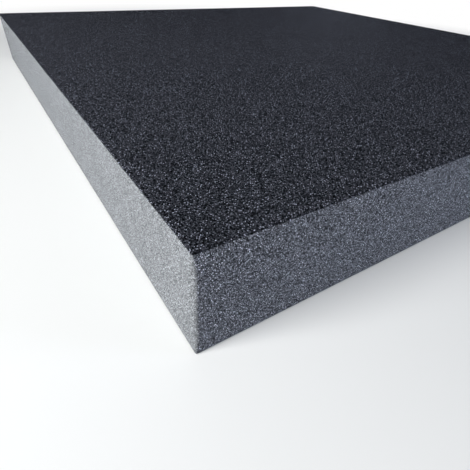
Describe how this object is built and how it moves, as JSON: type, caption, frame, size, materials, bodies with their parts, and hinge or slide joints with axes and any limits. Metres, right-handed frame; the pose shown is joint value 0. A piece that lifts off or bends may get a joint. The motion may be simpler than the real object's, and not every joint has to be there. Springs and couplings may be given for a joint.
{
  "type": "acoustic foam panel",
  "caption": "Flat square slab of open-cell foam with knife-cut sides, dark on its faces and paler on its cut edges, glued to a wall or ceiling to absorb sound.",
  "frame": {"origin": "centre of the back face, which is the face that is glued to a wall", "axes": "+Z out of the back face towards the room, +X along the width, +Y along the depth"},
  "size_m": [0.5, 0.5, 0.05],
  "materials": {
    "foam": "matte"
  },
  "bodies": {
    "root": {"foam_panel": "foam"}
  },
  "joints": []
}
